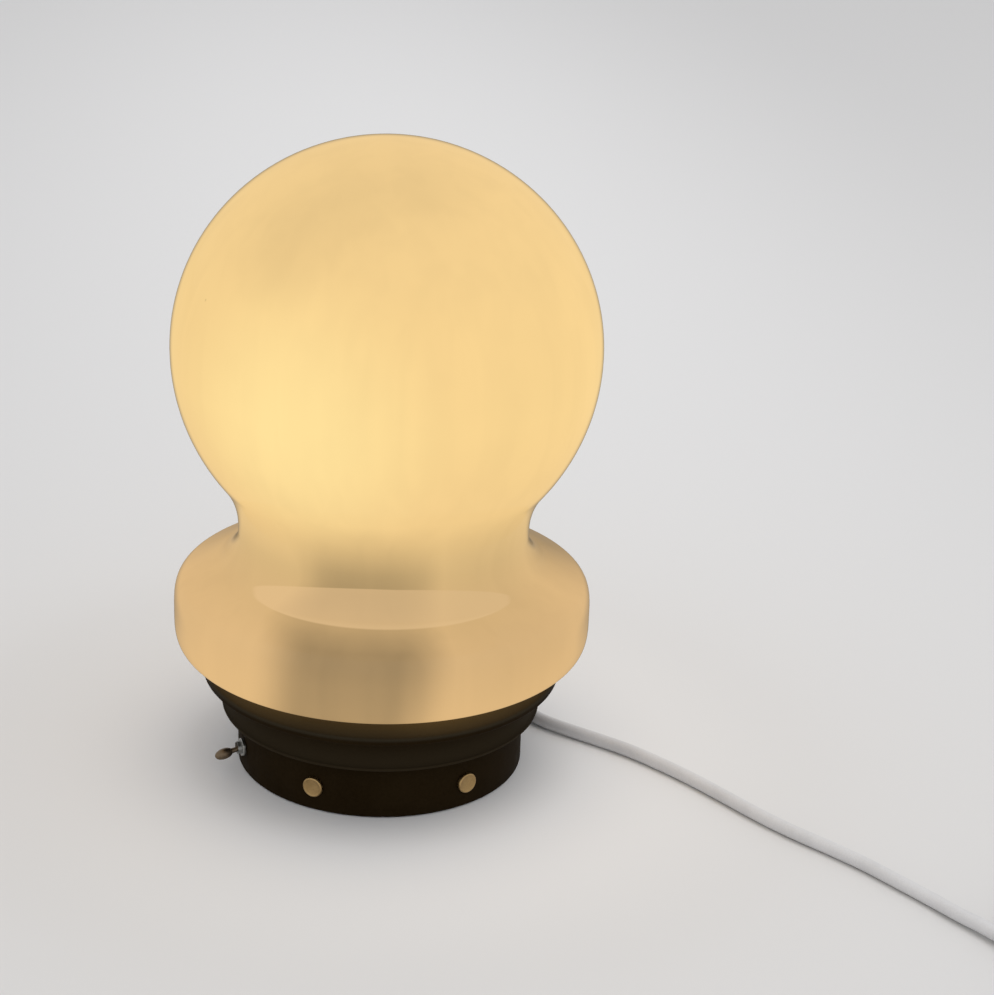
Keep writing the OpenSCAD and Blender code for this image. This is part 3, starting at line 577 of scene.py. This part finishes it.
GLOBE_R, CROWN_H, WAIST_R, WAIST_BLEND, WAIST_LIFT = 100.0, 97.7, 69.0, 40.0, 2.7
FLARE_R, BULGE_R, BULGE_H, BULGE_DEPTH, FULLNESS = 18.5, 99.5, 34.6, 16.0, 4.0
COLLAR_R, COLLAR_BLEND, RIM_Z, GLASS_T = 66.0, 6.0, 42.0, 3.0
BULGE_Z, BULGE_LOW, SHOULDER = 78.3, 61.0, math.radians(61)
BULGE_IN, BULGE_STEPS = BULGE_R - BULGE_DEPTH, 44


def bulge_point(angle, inset=0):
    """A point of the bulge's squared section."""
    across = math.copysign(abs(math.cos(angle)) ** (2 / FULLNESS), math.cos(angle))
    up = math.copysign(abs(math.sin(angle)) ** (2 / FULLNESS), math.sin(angle))
    return BULGE_IN + (BULGE_DEPTH - inset) * across, BULGE_Z + (BULGE_H / 2 - inset) * up


SHOULDER_R, SHOULDER_Z = bulge_point(SHOULDER)
SLOPE = math.atan(BULGE_H / 2 / BULGE_DEPTH * (1 / math.tan(SHOULDER)) ** (2 - 2 / FULLNESS))
FLARE_Z = SHOULDER_Z + (SHOULDER_R - WAIST_R - FLARE_R) * math.tan(SLOPE) + FLARE_R / math.cos(SLOPE)
WAIST_Z = FLARE_Z + WAIST_LIFT
GLOBE_Z = WAIST_Z + math.sqrt((GLOBE_R + WAIST_BLEND) ** 2 - (WAIST_R + WAIST_BLEND) ** 2)
BLEND_ANGLE = math.degrees(math.asin((GLOBE_Z - WAIST_Z) / (GLOBE_R + WAIST_BLEND)))


def shade_side(inset):
    """The shade's outline from the crown to the collar, set in from the outer face.

    Where two curves meet, the second starts a step past the end of the first.
    """
    turns = [SHOULDER - (SHOULDER + math.pi / 2) * i / BULGE_STEPS for i in range(BULGE_STEPS + 1)]
    return (
        oval(0, GLOBE_Z, GLOBE_R - inset, CROWN_H - inset, 90, 0, 40)
        + arc(0, GLOBE_Z, GLOBE_R - inset, -3, -BLEND_ANGLE, 22)
        + arc(WAIST_R + WAIST_BLEND, WAIST_Z, WAIST_BLEND + inset, 180 - BLEND_ANGLE * 0.94, 180, 16)
        + arc(WAIST_R + FLARE_R, FLARE_Z, FLARE_R + inset, 180, 270 - math.degrees(SLOPE), 18)
        + [bulge_point(a, inset) for a in turns]
        + arc(COLLAR_R + COLLAR_BLEND, BULGE_LOW - COLLAR_BLEND, COLLAR_BLEND + inset, 97, 180, 8)
    )


def make_shade():
    rim = arc(COLLAR_R - GLASS_T / 2, RIM_Z + GLASS_T / 2, GLASS_T / 2, 0, -180, 8)
    shade = lathed("shade_glass", shade_side(0) + rim + shade_side(GLASS_T)[::-1], 160, 60)
    settle(shade, "shade", "opal_glass", "glass_shade")


make_shade()


# Base

DRUM_R, DRUM_TOP, PLATE_LOW = 69.3, 28.2, 38.0
GALLERY_TOP, LIP_R, LIP_LOW = 50.0, 86.0, 46.0
BEAD_R, BEAD_TOP, COVE_R, COVE_LOW = 77.0, 30.0, 74.0, 41.52
GALLERY_BORE, SEAT_R = 67.4, 69.7
EDGE, SEAT_EDGE, BEAD_EDGE = 1.2, 0.6, 0.3
COVE_W = LIP_R - EDGE - COVE_R
FIXING_H, SCREW_ANGLES, SCREW_GAP = 12.8, (-121, -59, 59, 121), 0.05
SCREW_HEAD = [
    (0, 1.80), (3.55, 1.74), (3.95, 1.86), (4.30, 2.0), (4.60, 1.92), (4.88, 1.62), (5.0, 1.20),
    (5.0, 0.15), (4.85, 0), (1.9, 0),
]
SCREW_TIP = [(1.2, -8.0), (0, -8.0)]
SHANK_R, SHANK_RIDGE, SHANK_TOP, SHANK_END, SHANK_PITCH = 1.9, 0.16, -0.8, -7.4, 0.7


def gallery_outline():
    """The ring's section: bore, seat, lip, cove and bead. Curves meet as on the shade."""
    return (
        [(GALLERY_BORE, DRUM_TOP), (GALLERY_BORE, PLATE_LOW)]
        + [(SEAT_R, PLATE_LOW), (SEAT_R, GALLERY_TOP - SEAT_EDGE)]
        + arc(SEAT_R + SEAT_EDGE, GALLERY_TOP - SEAT_EDGE, SEAT_EDGE, 180, 90, 4)
        + arc(LIP_R - EDGE, GALLERY_TOP - EDGE, EDGE, 90, 0, 8)
        + arc(LIP_R - EDGE, LIP_LOW + EDGE, EDGE, 0, -84, 8)
        + oval(COVE_R + COVE_W, COVE_LOW, COVE_W, LIP_LOW - COVE_LOW, 90, 180, 16)
        + oval(BEAD_R, COVE_LOW, BEAD_R - COVE_R, COVE_LOW - BEAD_TOP, 186, 264, 18)
        + arc(BEAD_R - BEAD_EDGE, BEAD_TOP - BEAD_EDGE, BEAD_EDGE, 80, 0, 4)
        + arc(BEAD_R - EDGE, DRUM_TOP + EDGE, EDGE, 0, -90, 8)
        + [(GALLERY_BORE, DRUM_TOP)]
    )


def drum_screw(angle):
    """A screw with a dished head, in the drum's wall."""
    seat = DRUM_R + SCREW_GAP
    head = [(r, seat + z) for r, z in SCREW_HEAD]
    shank = thread(SHANK_R, SHANK_RIDGE, seat + SHANK_TOP, seat + SHANK_END, -SHANK_PITCH)
    tip = [(r, seat + z) for r, z in SCREW_TIP]
    screw = lathed("screw", head + shank + tip, 40)
    screw.data.transform(on_wall(angle, FIXING_H))
    return screw


def make_base():
    settle(lathed("gallery", gallery_outline(), 160, 40), "base", "dark_paint", "gallery_ring")
    settle(softened("base_drum", "drum_wall", 0.35), "base", "dark_paint", "base_drum")
    settle(softened("carrier", "carrier_pan", 0.4), "base", "zinc_steel", "carrier")
    settle(softened("seat_gasket", "gasket", 0.5), "base", "dark_rubber", "seat_gasket")
    settle(softened("felt_pad", "felt_sole", 0.4), "base", "felt", "felt_pad")
    screws = [drum_screw(angle) for angle in SCREW_ANGLES]
    settle(joined("drum_screw_set", screws), "base", "brass", "drum_screws")


make_base()


# Toggle switch

SWITCH_ANGLE, LEVER_PIVOT, LEVER_DROOP = 195, 69.5, 13
LEVER_LEN, LEVER_END_LEN, LEVER_END_R, LEVER_NECK_R = 14.6, 9.0, 2.65, 1.3
LEVER_BALL_R, LEVER_TAIL_R = 2.05, 1.0
LEVER_TAIL = [(0, -4.0), (0.8, -4.0), (LEVER_TAIL_R, -3.8)]
LEVER_NECK = [(1.22, 2.6), (1.22, 4.4)]


def meeting_angle(r, ball_r):
    """Where a ball has the radius of the rod that meets it, in degrees from its middle."""
    return math.degrees(math.acos(r / ball_r))


def make_switch():
    settle(softened("switch_nut", "switch_hex_nut", 0.3), "base", "zinc_steel", "switch_nut")
    settle(softened("switch_body", "switch_case", 0.6), "base", "black_plastic", "switch_body")
    half = LEVER_END_LEN / 2
    tail = meeting_angle(LEVER_TAIL_R, LEVER_BALL_R)
    neck_in = meeting_angle(LEVER_NECK_R, LEVER_BALL_R)
    neck_out = meeting_angle(LEVER_NECK_R, LEVER_END_R)
    outline = (
        LEVER_TAIL
        + arc(0, 0, LEVER_BALL_R, -tail, neck_in, 14)
        + LEVER_NECK
        + oval(0, LEVER_LEN - half, LEVER_END_R, half, -neck_out, 90, 24)
    )
    lever = lathed("toggle_lever", outline, 40)
    out = Matrix.Translation((0, 0, LEVER_PIVOT * MM))
    lever.data.transform(on_wall(SWITCH_ANGLE, FIXING_H) @ out @ turned(LEVER_DROOP, "Y"))
    settle(lever, "lever", "brass", "switch_lever", finish=LEVER_BRASS)


make_switch()


# Lampholder and bulb

HOLDER_R, HOLDER_Z, SPLIT_Z, HOLDER_TOP, HOLDER_IN = 23.0, 43.0, 60.0, 96.0, 20.5
CUP_R, CUP_EDGE, CUP_HOLE_R, CUP_IN, CUP_FLOOR, REBATE_Z = 22.5, 3.0, 5.2, 18.7, 46.0, 56.0
FLANGE_R, FLANGE_TOP, FLANGE_LOW_EDGE, FLANGE_TOP_EDGE = 24.0, 65.0, 0.3, 0.5
TOP_EDGE, TOP_INNER_EDGE = 1.0, 0.8
GROOVE_DEPTH, GROOVE_W = 0.4, 1.6
CUP_GROOVES, SHELL_GROOVES = (50.0, 55.0), (69.0, 74.0, 79.0)
SLEEVE_IN, SLEEVE_OUT, SLEEVE_LOW, SLEEVE_TOP, SLEEVE_END = 14.1, 14.6, 68.0, 93.0, 0.6
SLEEVE_RIDGE, CAP_RIDGE, SCREW_PITCH = 0.45, 0.55, 3.4
BULB_R, BULB_Z, NECK_R, NECK_Z, SEAM_Z, CAP_R, CAP_Z = 30.0, 147.0, 14.5, 101.3, 97.0, 13.2, 76.3
BULB_T, STEM_GAP, STEM_LEN, CAP_T = 0.8, 0.8, 11.0, 0.6


def grooves(r, heights):
    """Grip grooves round a wall."""
    line = []
    for z in heights:
        line += [
            (r, z), (r - GROOVE_DEPTH, z + GROOVE_DEPTH),
            (r - GROOVE_DEPTH, z + GROOVE_W - GROOVE_DEPTH), (r, z + GROOVE_W),
        ]
    return line


def make_holder():
    cup = (
        [(CUP_HOLE_R, HOLDER_Z)]
        + arc(CUP_R - CUP_EDGE, HOLDER_Z + CUP_EDGE, CUP_EDGE, -90, 0, 8)
        + grooves(CUP_R, CUP_GROOVES)
        + [(CUP_R, SPLIT_Z), (HOLDER_IN, SPLIT_Z), (HOLDER_IN, REBATE_Z), (CUP_IN, REBATE_Z)]
        + [(CUP_IN, CUP_FLOOR), (CUP_HOLE_R, CUP_FLOOR), (CUP_HOLE_R, HOLDER_Z)]
    )
    settle(lathed("holder_cup", cup, 72, 25), "base", "black_plastic", "holder_cap")
    shell = (
        [(HOLDER_IN, SPLIT_Z)]
        + arc(FLANGE_R - FLANGE_LOW_EDGE, SPLIT_Z + FLANGE_LOW_EDGE, FLANGE_LOW_EDGE, -90, 0, 3)
        + arc(FLANGE_R - FLANGE_TOP_EDGE, FLANGE_TOP - FLANGE_TOP_EDGE, FLANGE_TOP_EDGE, 0, 90, 4)
        + [(HOLDER_R + 0.2, FLANGE_TOP), (HOLDER_R, FLANGE_TOP + 0.4)]
        + grooves(HOLDER_R, SHELL_GROOVES)
        + [(HOLDER_R, HOLDER_TOP - TOP_EDGE - 0.2)]
        + arc(HOLDER_R - TOP_EDGE, HOLDER_TOP - TOP_EDGE, TOP_EDGE, 0, 90, 5)
        + arc(HOLDER_IN + TOP_INNER_EDGE, HOLDER_TOP - TOP_INNER_EDGE, TOP_INNER_EDGE, 90, 180, 5)
        + [(HOLDER_IN, SPLIT_Z)]
    )
    settle(lathed("holder_sleeve_cover", shell, 72, 25), "base", "black_plastic", "holder_shell")
    low, high = SLEEVE_LOW + SLEEVE_END, SLEEVE_TOP - SLEEVE_END
    foot = (SLEEVE_IN - SLEEVE_RIDGE, SLEEVE_LOW)
    sleeve = (
        [foot, (SLEEVE_OUT - SLEEVE_RIDGE, SLEEVE_LOW)]
        + thread(SLEEVE_OUT, SLEEVE_RIDGE, low, high, SCREW_PITCH)
        + [(SLEEVE_OUT - 0.2, SLEEVE_TOP), (SLEEVE_IN, SLEEVE_TOP)]
        + thread(SLEEVE_IN, SLEEVE_RIDGE, high, low, -SCREW_PITCH)
        + [foot]
    )
    settle(lathed("holder_screw_sleeve", sleeve, 72, 60), "base", "brass", "holder_sleeve")


def bulb_side(inset):
    """The bulb's outline from its top to the stem inside the cap."""
    rise = BULB_Z - NECK_Z
    blend = (rise ** 2 + NECK_R ** 2 - BULB_R ** 2) / (2 * (BULB_R - NECK_R))
    angle = math.degrees(math.asin(rise / (BULB_R + blend)))
    stem = CAP_R - STEM_GAP - inset
    return (
        arc(0, BULB_Z, BULB_R - inset, 90, -angle, 36)
        + arc(NECK_R + blend, NECK_Z, blend + inset, 180 - angle * 0.94, 180, 14)
        + [(NECK_R - inset, SEAM_Z + inset), (stem, SEAM_Z + inset), (stem, SEAM_Z - STEM_LEN)]
    )


def make_bulb():
    envelope = lathed("bulb_globe", bulb_side(0) + bulb_side(BULB_T)[::-1], 96, 60)
    settle(envelope, "bulb", "bulb_glass", "bulb_envelope")
    cap = (
        [(0, CAP_Z), (11.8, CAP_Z), (12.5, CAP_Z + 0.5)]
        + thread(CAP_R, CAP_RIDGE, CAP_Z + 1.2, CAP_Z + 15.4, SCREW_PITCH)
        + [(CAP_R, CAP_Z + 16.4), (CAP_R, SEAM_Z - 0.3), (12.95, SEAM_Z), (12.6, SEAM_Z)]
        + [(12.55, CAP_Z + 1.4), (11.8, CAP_Z + CAP_T), (0, CAP_Z + CAP_T)]
    )
    settle(lathed("bulb_screw_cap", cap, 72, 60), "bulb", "bulb_metal", "bulb_cap")


make_holder()
make_bulb()
settle(softened("nipple_nuts", "tube_nuts", 0.4), "base", "brass", "nipple_nuts")


# Cord: out of the strain relief, round behind the base, off to the right and into its coil

CORD_D, CORD_Z = 6.5, 3.3
OUTLET_H = 10.0
COIL_CENTRE, COIL_START = (310.0, -202.0), -150.0
COIL_STEPS, COIL_R, COIL_PITCH, COIL_LIFT = 130, 36.8, CORD_D + 0.6, 1.7
TURN_STEPS, CLIMB_TURNS = 24, 0.5
COIL_TURNS = COIL_STEPS / TURN_STEPS
COIL_IN = COIL_R - COIL_PITCH * COIL_TURNS / 4
COIL_LOW = COIL_LIFT + CORD_D / 2
EASE_LEN, TAIL_LEN, PLUG_Z = 9.0, 44.0, 7.7
ROUTE_STEPS = 4
CORD_ROUTE = [
    (0, 106, 10), (2, 116, 9), (8, 125, 7.5), (18, 131, 6), (30, 133, 5), (42, 130, 4), (52, 122, 3.5),
    (59, 110, CORD_Z), (63, 96, CORD_Z), (65, 81, CORD_Z), (67, 66, CORD_Z), (70, 51, CORD_Z),
    (75, 36, CORD_Z), (83, 22, CORD_Z), (95, 10, CORD_Z), (109, -2, CORD_Z), (123, -15, CORD_Z),
    (136, -30, CORD_Z), (149, -47, CORD_Z), (161, -65, CORD_Z), (173, -83, CORD_Z), (185, -99, CORD_Z),
    (198, -114, CORD_Z), (211, -130, CORD_Z), (222, -146, CORD_Z), (232, -161, 3.4), (241, -176, 3.8),
    (250, -190, 4.4),
]
RELIEF_BACK, RELIEF_START, RELIEF_END = 62.5, DRUM_R + 0.3, 96.8
RELIEF_R, RELIEF_TAPER, RELIEF_NECK_R, RELIEF_HEAD_R = 6.0, 1.6, 4.5, 6.5
RIB_COUNT, RIB_FIRST, RIB_STEP = 4, 3.0, 5.8
RIB = [(0, 0), (0.15, 0.35), (0.7, 0.8), (0.7, 1.7), (0.2, 2.1), (0.14, 2.4)]


def level(angle, length):
    """A level step in a direction."""
    a = math.radians(angle)
    return Vector((length * math.cos(a), length * math.sin(a), 0))


def coil_point(turn):
    """A point of the coil: in along the lower layer, up half way, out along the upper one."""
    reach = COIL_IN + COIL_PITCH * abs(turn - COIL_TURNS / 2)
    climb = min(1, max(0, (turn - COIL_TURNS / 2) / CLIMB_TURNS + 0.5))
    z = COIL_LOW + COIL_PITCH * (1 - math.cos(math.pi * climb)) / 2
    return Vector((*COIL_CENTRE, z)) + level(COIL_START + 360 * turn, reach)


def smooth_route(points):
    """A curve through all the points."""
    ends = [points[0] * 2 - points[1], *points, points[-1] * 2 - points[-2]]
    line = []
    for p0, p1, p2, p3 in zip(ends, ends[1:], ends[2:], ends[3:]):
        for i in range(ROUTE_STEPS):
            t = i / ROUTE_STEPS
            bend = (2 * p0 - 5 * p1 + 4 * p2 - p3) * t ** 2 + (3 * p1 - p0 - 3 * p2 + p3) * t ** 3
            line.append(0.5 * (2 * p1 + (p2 - p0) * t + bend))
    return line + [points[-1]]


def cord_line():
    """The cord's centre line, from the strain relief to the plug."""
    start_dir = COIL_START + 90
    end_dir = COIL_START + 360 * COIL_TURNS + 90
    lead_in = coil_point(0) - level(start_dir, CORD_D)
    lead_out = coil_point(COIL_TURNS) + level(end_dir, CORD_D)
    plug_rear = Vector((lead_out.x, lead_out.y, PLUG_Z)) + level(end_dir, TAIL_LEN)
    outlet = Vector((0, RELIEF_END, OUTLET_H))
    free = [outlet, *map(Vector, CORD_ROUTE), lead_in - level(start_dir, EASE_LEN), lead_in]
    turns = [coil_point(i / (2 * TURN_STEPS)) for i in range(2 * COIL_STEPS + 1)]
    tail = [
        lead_out, lead_out + level(end_dir, EASE_LEN), (lead_out + plug_rear) / 2,
        plug_rear - level(end_dir, EASE_LEN), plug_rear,
    ]
    return smooth_route(free) + turns + smooth_route(tail)


def lay_cord():
    """The cord as a bevelled curve, and its length in metres."""
    line = cord_line()
    data = bpy.data.curves.new("cord_lead", "CURVE")
    data.dimensions = "3D"
    data.bevel_depth = CORD_D / 2 * MM
    data.bevel_resolution = 5
    data.use_fill_caps = True
    spline = data.splines.new("POLY")
    spline.points.add(len(line) - 1)
    for dot, place in zip(spline.points, line):
        dot.co = (*(place * MM), 1)
    cord = bpy.data.objects.new("cord_lead", data)
    scene.collection.objects.link(cord)
    return cord, sum((b - a).length for a, b in zip(line, line[1:])) * MM


def make_relief():
    """The strain relief: a head inside the drum, a neck in its wall and a ribbed, tapered sleeve."""
    ribs = []
    for i in range(RIB_COUNT):
        z = RELIEF_START + RIB_FIRST + i * RIB_STEP
        r = RELIEF_R - RELIEF_TAPER * (z - RELIEF_START) / (RELIEF_END - RELIEF_START)
        ribs += [(r - inward, z + along) for inward, along in RIB]
    outline = (
        [(0, RELIEF_BACK - 2), (RELIEF_HEAD_R - 0.2, RELIEF_BACK - 2), (RELIEF_HEAD_R, RELIEF_BACK - 1.8)]
        + [(RELIEF_HEAD_R, RELIEF_BACK), (RELIEF_NECK_R, RELIEF_BACK), (RELIEF_NECK_R, RELIEF_START)]
        + [(RELIEF_R - 0.4, RELIEF_START), (RELIEF_R, RELIEF_START + 0.4)]
        + ribs
        + [(4.45, RELIEF_END - 0.4), (4.1, RELIEF_END), (0, RELIEF_END)]
    )
    relief = lathed("cord_relief", outline, 48, 25)
    relief.data.transform(on_wall(90, OUTLET_H))
    settle(relief, "base", "pale_plastic", "strain_relief")


def make_cord():
    plug = settle(softened("plug_body", "plug_shell", 1.2, segments=3), "base", "pale_plastic", "plug_body")
    pins = settle(softened("plug_pins", "plug_prongs", 0.25), "base", "zinc_steel", "plug_pins")
    tie = settle(softened("cord_tie", "coil_band", 0.3), "base", "tie_band", "cord_tie")
    lead, length = lay_cord()
    settle(lead, "base", "pale_plastic", "cord", "cord_coil", "cord_tail")


make_cord()
make_relief()


# Stage and light, in metres

FLOOR_SIZE = 24
FLOOR_MID, FLOOR_FAR = (0.800, 0.797, 0.794, 1), (0.675, 0.672, 0.669, 1)
POOL_X, POOL_Y, POOL_SHARE, POOL_REACH = 0.10, 1.20, 0.30, 0.60
# Painted light: a paler floor close around the lamp
FLOOR_CLOSE_LIGHT, CLOSE_INNER, CLOSE_OUTER, CLOSE_SHARE = (0.955, 0.970, 0.985, 1), 0.05, 0.22, 0.6
ROOM_LIGHT = (0.80, 0.80, 0.81, 1)


def make_floor():
    """A pale floor with painted light: a little lighter in a wide pool behind the lamp and close around it.
    """
    bpy.ops.object.select_all(action="DESELECT")
    bpy.ops.mesh.primitive_plane_add(size=FLOOR_SIZE, location=(0, 0, 0))
    floor = bpy.context.object
    floor.name = "pale_floor"
    ground = Finish("pale_floor")
    x, y, _ = ground.axes()
    across = ground.less(x, POOL_X)
    along = ground.times(ground.less(y, POOL_Y), POOL_SHARE)
    tone = ground.mix(ground.span(ground.length(across, along), 0.0, POOL_REACH), FLOOR_MID, FLOOR_FAR)
    close = ground.times(ground.near((0, 0, 0), CLOSE_INNER, CLOSE_OUTER), CLOSE_SHARE)
    ground.set(
        base_color=ground.mix(close, tone, FLOOR_CLOSE_LIGHT),
        roughness=0.9,
        specular_ior_level=0.1,
    )
    floor.data.materials.append(ground.material)


def fill_room():
    """Even light from all round."""
    world = bpy.data.worlds.new("soft_room")
    scene.world = world
    world.use_nodes = True
    world.node_tree.nodes["Background"].inputs["Color"].default_value = ROOM_LIGHT


def hang_light(name, place, aim, size, power):
    """A round soft light that points at a place and doesn't show in glossy surfaces."""
    data = bpy.data.lights.new(name, "AREA")
    data.shape = "DISK"
    data.size = size
    data.energy = power
    light = bpy.data.objects.new(name, data)
    scene.collection.objects.link(light)
    light.location = place
    light.rotation_euler = (Vector(aim) - Vector(place)).to_track_quat("-Z", "Y").to_euler()
    light.visible_glossy = False


make_floor()
fill_room()
hang_light("overhead_softbox", place=(0.5, -0.2, 2.4), aim=(0, 0, 0.1), size=2.0, power=14)
